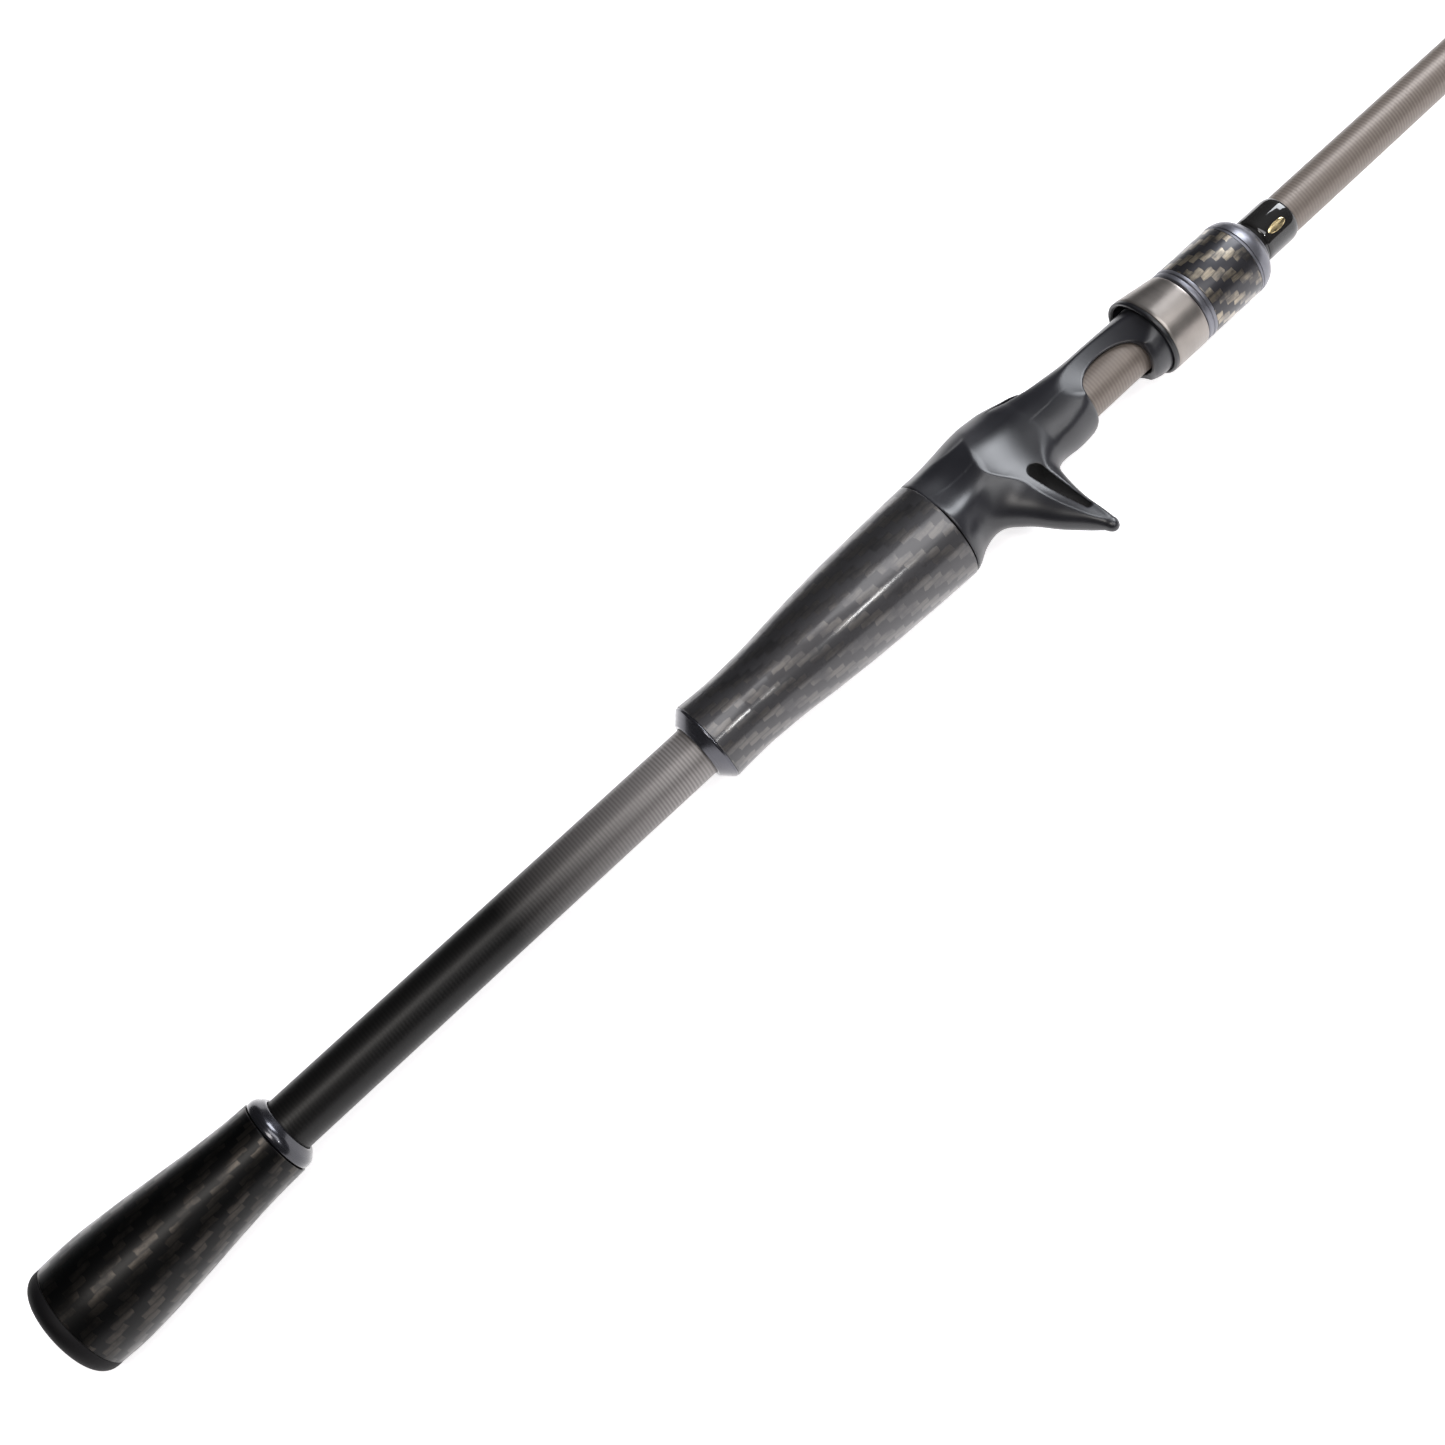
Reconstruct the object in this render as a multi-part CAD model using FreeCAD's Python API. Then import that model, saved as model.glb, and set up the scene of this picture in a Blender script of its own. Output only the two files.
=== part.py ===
import FreeCAD, Part
import math
import os

# Bait-casting fishing rod, in millimetres. It is modelled as it is held: the rod's axis along X
# with the butt end at x = 0, the reel side up (+Z) and the trigger down (-Z). Each sub-part is
# then turned a quarter turn about X, so that the stored rod lies on its side: reel side +Y,
# trigger -Y.

V = FreeCAD.Vector
ORIGIN = V(0, 0, 0)
X_AXIS = V(1, 0, 0)
Y_AXIS = V(0, 1, 0)
Z_AXIS = V(0, 0, 1)

# Places along the rod, from the butt's end
BUTT_CAP_LENGTH = 5.0
BUTT_SPIGOT_END = 12.0
BUTT_GRIP_END = 62.8
BUTT_CHECK_END = 67.0
REAR_RING_START = 196.8
REAR_RING_EDGE = 199.6
REAR_GRIP_START = 200.3
SEAT_START = 278.0
BARREL_START = 334.0
SEAT_BODY_END = 338.0
BARREL_END = 375.0
HOOD_START = 351.3
HOOD_SHELL_START = 352.5
HOOD_END = 363.2
NUT_START = 363.5
NUT_SLEEVE_START = 366.3
NUT_SLEEVE_END = 382.4
NUT_SEAT_END = 384.6
NUT_CAVITY_END = 386.0
NUT_LIP_END = 387.6
NUT_END = 388.5
WRAP_START = 376.2
WRAP_END = 400.8
INLAY_CENTRE = 395.0
TIP_WRAP_START = 2104.0
TIP_TUBE_START = 2114.0
TIP_TUBE_END = 2129.6
TIP_RING_X = 2132.2

# Radii
CAP_RADIUS = 14.3
CAP_FILLET = 3.4
SPIGOT_RADIUS = 5.9
BLANK_PROFILE = [(5.0, 7.25), (197.0, 6.95), (400.0, 5.75), (900.0, 3.9), (2129.0, 1.05)]
BLANK_WALL_BUTT = 1.3
BLANK_WALL_TIP = 0.5
SKIN_THICKNESS = 0.9
SEAT_BORE = 7.0
BARREL_RADIUS = 9.5
RUNNING_GAP = 0.1
HOOD_RADIUS = 10.75
HOOD_SHELL_THICKNESS = 0.65
HOOD_POCKET_WALL = 0.7
HOOD_RISE = 2.3
NUT_RADIUS = 10.65
NUT_SKIN = 0.5
NUT_GROOVE = 0.25
NUT_LIP_RADIUS = 8.6
NUT_NOSE_RADIUS = 7.7
NUT_NOSE_BORE = 7.0
WRAP_RADIUS = 6.45
EPOXY_EDGE = 0.15
TIP_TUBE_RADIUS = 1.75

# Reel seat details
DECK_HEIGHT = 8.4
POCKET_HALF_WIDTH = 7.0
POCKET_TOP = 11.4
KEY_WIDTH = 2.0
KEY_DEPTH = 0.7
THREAD_PITCH = 1.5
THREAD_DEPTH = 0.6
WINDOW_CENTRE = (337.5, -8.0)
WINDOW_INNER = (8.8, 8.6)
WINDOW_OUTER = (14.8, 13.9)
WINDOW_STRAIGHT = 6.0
WINDOW_FLARE_END = 10.4
THUMB_SCOOP = (310.0, 33.2, 1.5, 24.0)
PALM_SCOOP = (287.0, 24.8, -1.0, 14.0)

# Outlines of the two grips, as (x, radius)
BUTT_GRIP = [(5.0, 14.35), (12.0, 14.5), (23.0, 13.8), (34.0, 12.65), (45.0, 11.4), (56.0, 10.5),
             (62.8, 10.25)]
REAR_GRIP = [(200.3, 11.15), (206.0, 10.85), (213.0, 10.75), (222.0, 11.2), (234.0, 12.25), (246.0, 13.1),
             (259.0, 13.65), (271.0, 14.0), (278.0, 14.15)]

# Reel seat body sections, as (x, height above the axis, depth below it, half width)
SEAT_SECTIONS = [(278.0, 14.1, 14.1, 14.1), (284.0, 14.9, 11.8, 12.7), (290.0, 15.8, 9.8, 11.9),
                 (297.0, 16.7, 9.2, 12.0), (304.0, 16.8, 8.9, 11.9), (310.0, 15.6, 8.6, 11.2),
                 (316.0, 13.2, 8.3, 10.4), (322.0, 11.2, 8.2, 10.0), (329.0, 10.0, 8.2, 9.8),
                 (338.0, 9.8, 9.8, 9.8)]

# Trigger sections, as (height, rear x, front x, half thickness)
TRIGGER_SECTIONS = [(-3.0, 286.5, 312.5, 8.0), (-11.6, 289.5, 309.6, 6.0), (-16.8, 293.4, 308.3, 4.9),
                    (-23.5, 297.2, 307.4, 3.9), (-29.1, 301.0, 307.3, 3.0), (-33.2, 303.7, 307.0, 1.64)]
TRIGGER_TIP = (305.35, -33.4, 1.6)
SLOT_TOP = (304.4, -9.2, 2.0)
SLOT_END = (305.1, -25.7, 0.8)

# Guides: the spacing grows by a fixed ratio from the tip towards the butt
GUIDE_COUNT = 8
FIRST_SPACING = 95.0
SPACING_GROWTH = 1.135
SMALL_RING = (2.75, 1.95)
RING_SIZES = [(5.0, 3.8), (4.0, 2.9), (3.0, 2.1), (3.0, 2.1)] + [SMALL_RING] * 4
RING_THICKNESS = 1.6
RING_LIFT = 1.6
RING_CORNER = 0.3
RING_INSET = 0.1
LOOP_HALF_WIDTH = 0.55
LEG_SPREAD = 0.3
TIP_RING_HEIGHT = 4.6
DOUBLE_FOOT_COUNT = 2
WIRE_RADIUS = 0.45
TIP_WIRE_RADIUS = 0.4
FOOT_THICKNESS = 1.15


def blank_radius(x):
    """Outer radius of the blank at x."""
    for (x0, r0), (x1, r1) in zip(BLANK_PROFILE, BLANK_PROFILE[1:]):
        if x <= x1:
            return r0 + (r1 - r0) * (x - x0) / (x1 - x0)
    return BLANK_PROFILE[-1][1]


def turned(points):
    """Solid turned about the X axis from a closed outline of (x, radius) points."""
    corners = [V(x, 0, r) for x, r in points]
    face = Part.Face(Part.makePolygon(corners + [corners[0]]))
    return face.revolve(ORIGIN, X_AXIS, 360)


def tube(x0, x1, inner, outer):
    """Plain tube along X."""
    return turned([(x0, inner), (x1, inner), (x1, outer), (x0, outer)])


def rod(x0, x1, radius):
    """Plain cylinder along X."""
    return Part.makeCylinder(radius, x1 - x0, V(x0, 0, 0), X_AXIS)


def turned_curve(points, inner):
    """Solid turned about X whose outside follows a smooth curve and whose bore is plain."""
    curve = Part.BSplineCurve()
    curve.interpolate([V(x, 0, r) for x, r in points])
    first = points[0]
    last = points[-1]
    wire = Part.Wire([
        curve.toShape(),
        Part.makeLine(V(last[0], 0, last[1]), V(last[0], 0, inner)),
        Part.makeLine(V(last[0], 0, inner), V(first[0], 0, inner)),
        Part.makeLine(V(first[0], 0, inner), V(first[0], 0, first[1])),
    ])
    return Part.Face(wire).revolve(ORIGIN, X_AXIS, 360)


def loft(wires):
    """Closed smooth solid through a list of wires."""
    return Part.makeLoft(wires, True)


def closed_curve(points):
    """Smooth closed wire through the points."""
    curve = Part.BSplineCurve()
    curve.interpolate(Points=points, PeriodicFlag=True)
    return Part.Wire(curve.toShape())


def box(x0, x1, y0, y1, z0, z1):
    """Box between two corners."""
    return Part.makeBox(x1 - x0, y1 - y0, z1 - z0, V(x0, y0, z0))


def ellipse_wire(centre, normal, major_direction, major, minor):
    """Elliptical wire with its long axis along major_direction."""
    ellipse = Part.Ellipse(centre + major_direction * major,
                           centre + normal.cross(major_direction) * minor, centre)
    return Part.Wire(ellipse.toShape())


def strut(start, end, radius):
    """Round bar with ball ends between two points."""
    direction = end - start
    bar = Part.makeCylinder(radius, direction.Length, start, direction)
    return bar.fuse([Part.makeSphere(radius, start), Part.makeSphere(radius, end)])


def blank_outside(x0, x1):
    """Solid of the blank's outer shape between x0 and x1, used to cut bores that fit it."""
    inside = [point for point in BLANK_PROFILE if x0 < point[0] < x1]
    outline = [(x0, blank_radius(x0))] + inside + [(x1, blank_radius(x1))]
    return turned([(x0, 0)] + outline + [(x1, 0)])


def make_blank():
    """Hollow tapered blank: one length from butt to tip."""
    start = BLANK_PROFILE[0][0]
    end = BLANK_PROFILE[-1][0]
    inner = []
    for x, radius in BLANK_PROFILE:
        share = (x - start) / (end - start)
        wall = BLANK_WALL_BUTT + (BLANK_WALL_TIP - BLANK_WALL_BUTT) * share
        inner.append((x, radius - wall))
    return turned(BLANK_PROFILE + inner[::-1])


def make_butt_cap():
    """Cap on the butt end, with a rounded rim and a spigot that plugs the blank's bore."""
    cap = rod(0, BUTT_CAP_LENGTH, CAP_RADIUS)
    rim = [edge for edge in cap.Edges if edge.BoundBox.XMax < 0.01 and edge.Length > CAP_RADIUS]
    cap = cap.makeFillet(CAP_FILLET, rim)
    return cap.fuse(rod(BUTT_CAP_LENGTH, BUTT_SPIGOT_END, SPIGOT_RADIUS))


def grip(outline):
    """Foam core and carbon skin of a grip, both flush at the ends."""
    start = outline[0][0]
    end = outline[-1][0]
    core_outline = [(x, r - SKIN_THICKNESS) for x, r in outline]
    core = turned_curve(core_outline, 1.0).cut(blank_outside(start, end))
    skin = turned_curve(outline, 1.0).cut(turned_curve(core_outline, 0.5))
    return core, skin


def make_butt_check():
    """Tapered trim ring in front of the butt grip."""
    outline = [(BUTT_GRIP_END, 5), (BUTT_GRIP_END, 10.2), (65.0, 10.0), (BUTT_CHECK_END, 7.9),
               (BUTT_CHECK_END, 5)]
    return turned(outline).cut(blank_outside(BUTT_GRIP_END - 1, BUTT_CHECK_END + 1))


def make_rear_grip_ring():
    """Tapered trim ring behind the rear grip."""
    outline = [(REAR_RING_START, 5), (REAR_RING_START, 8.2), (REAR_RING_EDGE, 11.1), (REAR_GRIP_START, 11.1),
               (REAR_GRIP_START, 5)]
    return turned(outline).cut(blank_outside(REAR_RING_START - 1, REAR_GRIP_START + 1))


def seat_section(x, top, bottom, half_width):
    """Egg-shaped closed section of the reel seat at x."""
    points = []
    for step in range(16):
        angle = 2 * math.pi * step / 16
        height = top if math.cos(angle) > 0 else bottom
        points.append(V(x, half_width * math.sin(angle), height * math.cos(angle)))
    return closed_curve(points)


def seat_trigger():
    """Hooked trigger under the reel seat."""
    wires = []
    for height, rear, front, half in TRIGGER_SECTIONS:
        centre = V((rear + front) / 2, 0, height)
        length = (front - rear) / 2
        wires.append(ellipse_wire(centre, Z_AXIS, X_AXIS, length, half))
    x, z, radius = TRIGGER_TIP
    return loft(wires).fuse(Part.makeSphere(radius, V(x, 0, z)))


def trigger_slot():
    """Teardrop slot through the trigger from side to side."""
    x0, z0, r0 = SLOT_TOP
    x1, z1, r1 = SLOT_END
    reach = 12.0
    top = Part.makeCylinder(r0, 2 * reach, V(x0, -reach, z0), Y_AXIS)
    end = Part.makeCylinder(r1, 2 * reach, V(x1, -reach, z1), Y_AXIS)
    sides = Part.makePolygon([V(x0 - r0, -reach, z0), V(x0 + r0, -reach, z0), V(x1 + r1, -reach, z1),
                              V(x1 - r1, -reach, z1), V(x0 - r0, -reach, z0)])
    return Part.Face(sides).extrude(V(0, 2 * reach, 0)).fuse([top, end])


def blank_window():
    """Opening under the barrel that leaves the blank bare, with flared sides."""
    x, z = WINDOW_CENTRE
    middle = ellipse_wire(V(x, -WINDOW_STRAIGHT, z), Y_AXIS, X_AXIS, *WINDOW_INNER)
    cutter = Part.Face(middle).extrude(V(0, 2 * WINDOW_STRAIGHT, 0))
    for side in (-1, 1):
        inner = ellipse_wire(V(x, (WINDOW_STRAIGHT - 0.1) * side, z), Y_AXIS, X_AXIS, *WINDOW_INNER)
        outer = ellipse_wire(V(x + 1.0, WINDOW_FLARE_END * side, z), Y_AXIS, X_AXIS, *WINDOW_OUTER)
        cutter = cutter.fuse(Part.makeLoft([inner, outer], True, True))
    return cutter


def flank_scoops():
    """Shallow hollows for thumb and palm on both sides of the seat."""
    scoops = []
    for side in (-1, 1):
        for x, y, z, radius in (THUMB_SCOOP, PALM_SCOOP):
            scoops.append(Part.makeSphere(radius, V(x, y * side, z)))
    return scoops


def make_reel_seat():
    """Reel seat: fixed rear hood, trigger, deck, bare-blank window and threaded barrel."""
    body = loft([seat_section(*section) for section in SEAT_SECTIONS])
    barrel = rod(BARREL_START, BARREL_END, BARREL_RADIUS)
    groove_start = HOOD_END + THREAD_PITCH
    groove_count = int((BARREL_END - groove_start) / THREAD_PITCH)
    grooves = []
    for index in range(groove_count):
        x = groove_start + index * THREAD_PITCH
        grooves.append(tube(x, x + THREAD_PITCH / 2, BARREL_RADIUS - THREAD_DEPTH, BARREL_RADIUS + 1))
    barrel = barrel.cut(grooves)
    seat = body.cut(flank_scoops()).fuse([seat_trigger(), barrel]).removeSplitter()
    cutters = [rod(SEAT_START - 1, BARREL_END + 1, SEAT_BORE), trigger_slot(), blank_window()]
    cutters.append(box(322.0, 366.0, -12, 12, DECK_HEIGHT, 20))
    cutters.append(box(300.0, 323.0, -POCKET_HALF_WIDTH, POCKET_HALF_WIDTH, DECK_HEIGHT, POCKET_TOP))
    for side in (-1, 1):
        inner = BARREL_RADIUS - KEY_DEPTH
        low, high = sorted([side * inner, side * 12.0])
        keyway = box(SEAT_BODY_END + 0.5, BARREL_END + 1, low, high, -KEY_WIDTH / 2, KEY_WIDTH / 2)
        cutters.append(keyway)
    return seat.cut(cutters)


def arbor(x0, x1):
    """Sleeve that centres the blank in the reel seat's bore."""
    return rod(x0, x1, SEAT_BORE).cut(blank_outside(x0 - 1, x1 + 1))


def hood_section(x, radius, rise):
    """Closed section of the moving hood: a circle stretched upwards by rise."""
    points = []
    for step in range(24):
        angle = 2 * math.pi * step / 24
        lift = rise if math.cos(angle) > 0.01 else 0.0
        if abs(math.cos(angle)) <= 0.01:
            lift = rise / 2
        points.append(V(x, radius * math.sin(angle), radius * math.cos(angle) + lift))
    return closed_curve(points)


def hood_solid(x0, x1, radius):
    """Solid outer shape of the hood between x0 and x1, round at its front end."""
    span = HOOD_END - HOOD_START
    wires = []
    for share in (0.0, 0.35, 0.7, 1.0):
        x = x0 + (x1 - x0) * share
        rise = HOOD_RISE * (HOOD_END - x) / span
        wires.append(hood_section(x, radius, max(rise, 0.05)))
    return loft(wires)


def make_hood_liner():
    """Black lining of the moving hood, with its pocket for the reel's foot and two keys."""
    inside = HOOD_RADIUS - HOOD_SHELL_THICKNESS
    liner = hood_solid(HOOD_SHELL_START, HOOD_END, inside)
    liner = liner.fuse(hood_solid(HOOD_START, HOOD_SHELL_START, HOOD_RADIUS)).removeSplitter()
    bore = BARREL_RADIUS + RUNNING_GAP
    pocket = box(HOOD_START - 1, HOOD_END - 2.4, -POCKET_HALF_WIDTH, POCKET_HALF_WIDTH, 0, 20)
    pocket = pocket.common(hood_solid(HOOD_START - 1, HOOD_END, inside - HOOD_POCKET_WALL))
    liner = liner.cut([rod(HOOD_START - 1, HOOD_END + 1, bore), pocket])
    for side in (-1, 1):
        edge = sorted([side * (BARREL_RADIUS - KEY_DEPTH + 0.2), side * (bore + 0.2)])
        half = KEY_WIDTH / 2 - 0.15
        key = box(HOOD_START + 1, HOOD_END - 1, edge[0], edge[1], -half, half)
        liner = liner.fuse(key)
    return liner.removeSplitter()


def make_hood_shell():
    """Metal shell over the hood's lining."""
    outside = hood_solid(HOOD_SHELL_START, HOOD_END, HOOD_RADIUS)
    inside = hood_solid(HOOD_SHELL_START - 0.01, HOOD_END + 0.01, HOOD_RADIUS - HOOD_SHELL_THICKNESS)
    return outside.cut(inside)


def make_nut_core():
    """Threaded core of the lock nut, with a lip at the front that runs over the blank."""
    bore = BARREL_RADIUS + RUNNING_GAP
    outer = NUT_RADIUS - NUT_SKIN
    return turned([(NUT_START, bore), (NUT_CAVITY_END, bore), (NUT_CAVITY_END, NUT_NOSE_BORE),
                   (NUT_LIP_END, NUT_NOSE_BORE), (NUT_LIP_END, NUT_LIP_RADIUS), (NUT_SEAT_END, outer),
                   (NUT_START, outer)])


def make_nut_rear_ring():
    """Black ring at the back of the lock nut, with one groove."""
    inner = NUT_RADIUS - NUT_SKIN
    low = NUT_RADIUS - NUT_GROOVE
    return turned([(NUT_START, inner), (NUT_START, low), (NUT_START + 0.4, NUT_RADIUS),
                   (NUT_START + 1.4, NUT_RADIUS), (NUT_START + 1.6, low), (NUT_START + 1.8, NUT_RADIUS),
                   (NUT_SLEEVE_START, NUT_RADIUS), (NUT_SLEEVE_START, inner)])


def make_nut_sleeve():
    """Carbon sleeve of the lock nut."""
    return tube(NUT_SLEEVE_START, NUT_SLEEVE_END, NUT_RADIUS - NUT_SKIN, NUT_RADIUS)


def make_nut_front_ring():
    """Black rounded nose ring of the lock nut."""
    inner = NUT_RADIUS - NUT_SKIN
    nose = [(383.6, NUT_RADIUS), (385.6, 10.2), (387.5, 9.2), (NUT_END, NUT_NOSE_RADIUS)]
    inside = [(NUT_END, NUT_NOSE_BORE), (NUT_LIP_END, NUT_NOSE_BORE), (NUT_LIP_END, NUT_LIP_RADIUS),
              (NUT_SEAT_END, inner)]
    return turned([(NUT_SLEEVE_END, inner), (NUT_SLEEVE_END, NUT_RADIUS)] + nose + inside)


def wrap(x0, x1, radius):
    """Thread wrap under epoxy: a sleeve on the blank with rounded ends."""
    shoulder = min(2.2, (x1 - x0) / 5)
    low0 = blank_radius(x0) + EPOXY_EDGE
    low1 = blank_radius(x1) + EPOXY_EDGE
    outline = [(x0, 0.5), (x0, low0), (x0 + 0.3 * shoulder, (low0 + radius) / 2 + 0.15 * (radius - low0)),
               (x0 + shoulder, radius), (x1 - shoulder, radius),
               (x1 - 0.3 * shoulder, (low1 + radius) / 2 + 0.15 * (radius - low1)), (x1, low1), (x1, 0.5)]
    return turned(outline).cut(blank_outside(x0 - 1, x1 + 1))


def make_inlay():
    """Small plain oval inlay on the wrap's side."""
    half_length = 2.9
    half_width = 1.15
    shell = tube(INLAY_CENTRE - 4.0, INLAY_CENTRE + 3.4, WRAP_RADIUS, WRAP_RADIUS + 0.12)
    angle = math.radians(43)
    direction = V(0, -math.cos(angle), -math.sin(angle))
    centre = direction * (WRAP_RADIUS / 2) + V(INLAY_CENTRE, 0, 0)
    oval = ellipse_wire(centre, direction, X_AXIS, half_length, half_width)
    return shell.common(Part.Face(oval).extrude(direction * WRAP_RADIUS))


def ring_at(x, height, outer, inner):
    """Ceramic guide ring with rounded corners, its axis along X."""
    half = RING_THICKNESS / 2
    rim = outer - RING_INSET
    ring = turned([(RING_CORNER - half, inner), (half - RING_CORNER, inner), (half, inner + RING_CORNER),
                   (half, rim), (-half, rim), (-half, inner + RING_CORNER)])
    ring.translate(V(x, 0, height))
    return ring


def ring_holder(x, height, outer):
    """Metal loop that holds a guide ring."""
    loop = tube(-LOOP_HALF_WIDTH, LOOP_HALF_WIDTH, outer - RING_INSET, outer + LOOP_HALF_WIDTH)
    loop.translate(V(x, 0, height))
    return loop


def ring_hole(x, height, outer):
    """Cylinder that keeps a frame's legs out of its ring."""
    return Part.makeCylinder(outer - RING_INSET, 6.0, V(x - 3.0, 0, height), X_AXIS)


def foot(x_tip, x_heel, surface_tip, surface_heel):
    """Flat foot of a guide, lying along the blank and let into it until it is cut to fit."""
    sunk = 0.5
    tip_half = 0.5
    heel_half = 1.1
    points = [V(x_tip, -tip_half, surface_tip - sunk), V(x_heel, -heel_half, surface_heel - sunk),
              V(x_heel, heel_half, surface_heel - sunk), V(x_tip, tip_half, surface_tip - sunk)]
    base = Part.Face(Part.makePolygon(points + [points[0]]))
    return base.extrude(V(0, 0, FOOT_THICKNESS))


def leg_reach(outer):
    """How far along the blank a guide's legs come down from its ring."""
    return outer + 3.2


def guide_frame(x, height, outer, double_foot, foot_length):
    """Wire frame of a guide: ring loop, legs and one or two feet."""
    reach = leg_reach(outer)
    front_heel = x + reach
    front_tip = front_heel + foot_length
    top = blank_radius(front_heel)
    pieces = [foot(front_tip, front_heel, blank_radius(front_tip), top)]
    side = outer + LEG_SPREAD
    for sign in (-1, 1):
        knee = V(front_heel + 0.4, 0.55 * sign, top + 0.15)
        shoulder = V(x, side * 0.8 * sign, height - side * 0.6)
        pieces.append(strut(knee, shoulder, WIRE_RADIUS))
    if double_foot:
        rear_heel = x - reach
        rear_tip = rear_heel - foot_length
        low = blank_radius(rear_heel)
        pieces.append(foot(rear_tip, rear_heel, blank_radius(rear_tip), low))
        pieces.append(strut(V(rear_heel - 0.4, 0, low + 0.15), V(x, 0, height - side), WIRE_RADIUS))
    blank = blank_outside(x - 60, x + 60)
    legs = [piece.cut([blank, ring_hole(x, height, outer)]) for piece in pieces]
    return ring_holder(x, height, outer).fuse(legs).removeSplitter()


def guide_positions():
    """Guide places from the butt side to the tip, as x values."""
    places = []
    distance = 0.0
    spacing = FIRST_SPACING
    for _ in range(GUIDE_COUNT):
        distance += spacing
        spacing *= SPACING_GROWTH
        places.append(TIP_RING_X - distance)
    return places[::-1]


def make_guides(nodes):
    """Frame, ring and thread wraps of every guide on the reel side of the blank."""
    for number, (x, (outer, inner)) in enumerate(zip(guide_positions(), RING_SIZES), start=1):
        double_foot = number <= DOUBLE_FOOT_COUNT
        height = blank_radius(x) + outer + RING_LIFT
        foot_length = 6.0 + 1.1 * outer
        reach = leg_reach(outer)
        frame = guide_frame(x, height, outer, double_foot, foot_length)
        nodes["guide_%d_frame" % number] = frame
        nodes["guide_%d_ring" % number] = ring_at(x, height, outer, inner)
        spans = [(x + reach + 0.8, x + reach + foot_length + 2.5)]
        if double_foot:
            spans.append((x - reach - foot_length - 2.5, x - reach - 0.8))
        wraps = []
        for x0, x1 in spans:
            thick = blank_radius(x0) + 0.95
            wraps.append(wrap(x0, x1, thick).cut(frame))
        nodes["guide_%d_wraps" % number] = wraps[0] if len(wraps) == 1 else Part.makeCompound(wraps)


def make_tip_top(nodes):
    """Tip-top: tube on the blank's end, wire frame, ring and thread wrap."""
    outer, inner = SMALL_RING
    inside = blank_outside(TIP_TUBE_START - 1, BLANK_PROFILE[-1][0])
    sleeve = rod(TIP_TUBE_START, TIP_TUBE_END, TIP_TUBE_RADIUS)
    pieces = [sleeve]
    side = outer + LEG_SPREAD
    for sign in (-1, 1):
        shoulder = V(TIP_RING_X, side * sign * 0.95, TIP_RING_HEIGHT)
        pieces.append(strut(V(2121.0, 0.9 * sign, 1.5), shoulder, TIP_WIRE_RADIUS))
    pieces.append(strut(V(2128.6, 0, -0.9), V(TIP_RING_X, 0, TIP_RING_HEIGHT - side), TIP_WIRE_RADIUS))
    pieces = [piece.cut([inside, ring_hole(TIP_RING_X, TIP_RING_HEIGHT, outer)]) for piece in pieces]
    nodes["tip_top_frame"] = ring_holder(TIP_RING_X, TIP_RING_HEIGHT, outer).fuse(pieces).removeSplitter()
    nodes["tip_top_ring"] = ring_at(TIP_RING_X, TIP_RING_HEIGHT, outer, inner)
    nodes["tip_top_wrap"] = wrap(TIP_WRAP_START, TIP_TUBE_START, TIP_TUBE_RADIUS)


def build():
    """Every sub-part, by node name, in the held position."""
    nodes = {}
    nodes["blank"] = make_blank()
    nodes["butt_cap"] = make_butt_cap()
    nodes["butt_grip_core"], nodes["butt_grip_skin"] = grip(BUTT_GRIP)
    nodes["butt_check_ring"] = make_butt_check()
    nodes["rear_grip_ring"] = make_rear_grip_ring()
    nodes["rear_grip_core"], nodes["rear_grip_skin"] = grip(REAR_GRIP)
    nodes["reel_seat_body"] = make_reel_seat()
    nodes["rear_arbor"] = arbor(284.0, 326.0)
    nodes["front_arbor"] = arbor(350.0, 373.0)
    nodes["hood_liner"] = make_hood_liner()
    nodes["hood_shell"] = make_hood_shell()
    nodes["nut_core"] = make_nut_core()
    nodes["nut_rear_ring"] = make_nut_rear_ring()
    nodes["nut_sleeve"] = make_nut_sleeve()
    nodes["nut_front_ring"] = make_nut_front_ring()
    nodes["fore_wrap"] = wrap(WRAP_START, WRAP_END, WRAP_RADIUS)
    nodes["fore_inlay"] = make_inlay()
    make_guides(nodes)
    make_tip_top(nodes)
    return nodes


def main():
    """Lays each sub-part down on its side and writes it."""
    os.makedirs("parts", exist_ok=True)
    for name, shape in build().items():
        shape.rotate(ORIGIN, X_AXIS, -90)
        shape.exportStep("parts/%s.step" % name)
        print(name, shape.ShapeType, len(shape.Solids), shape.isValid(), round(shape.Volume, 1))


main()
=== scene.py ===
import math

import bmesh
import bpy
import numpy as np
from mathutils import Matrix, Vector


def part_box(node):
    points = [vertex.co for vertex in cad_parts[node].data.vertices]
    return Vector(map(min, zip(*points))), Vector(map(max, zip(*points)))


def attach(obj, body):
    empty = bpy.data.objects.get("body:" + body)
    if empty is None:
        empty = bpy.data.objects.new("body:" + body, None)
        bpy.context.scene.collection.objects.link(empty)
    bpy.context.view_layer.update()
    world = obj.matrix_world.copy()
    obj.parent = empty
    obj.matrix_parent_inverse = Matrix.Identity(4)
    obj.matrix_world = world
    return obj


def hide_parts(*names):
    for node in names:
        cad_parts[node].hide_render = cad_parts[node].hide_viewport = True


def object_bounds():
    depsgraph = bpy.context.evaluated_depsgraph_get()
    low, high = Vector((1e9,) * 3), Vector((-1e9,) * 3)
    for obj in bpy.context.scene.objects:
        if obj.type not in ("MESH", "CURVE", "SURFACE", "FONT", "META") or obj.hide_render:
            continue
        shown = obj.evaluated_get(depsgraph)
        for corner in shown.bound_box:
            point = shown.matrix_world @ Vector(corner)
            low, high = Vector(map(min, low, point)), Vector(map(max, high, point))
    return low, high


# A bait-casting rod that lies on its side on a pale floor: the rod's axis is X, with the butt at
# x = 0, the reel side is +Y and the trigger is -Y. Outlines are in millimetres and become metres
# where a mesh is made. The reel seat, its barrel and the hood are written as the rod is held,
# with the reel side up, and laid down by `laid`.

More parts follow.
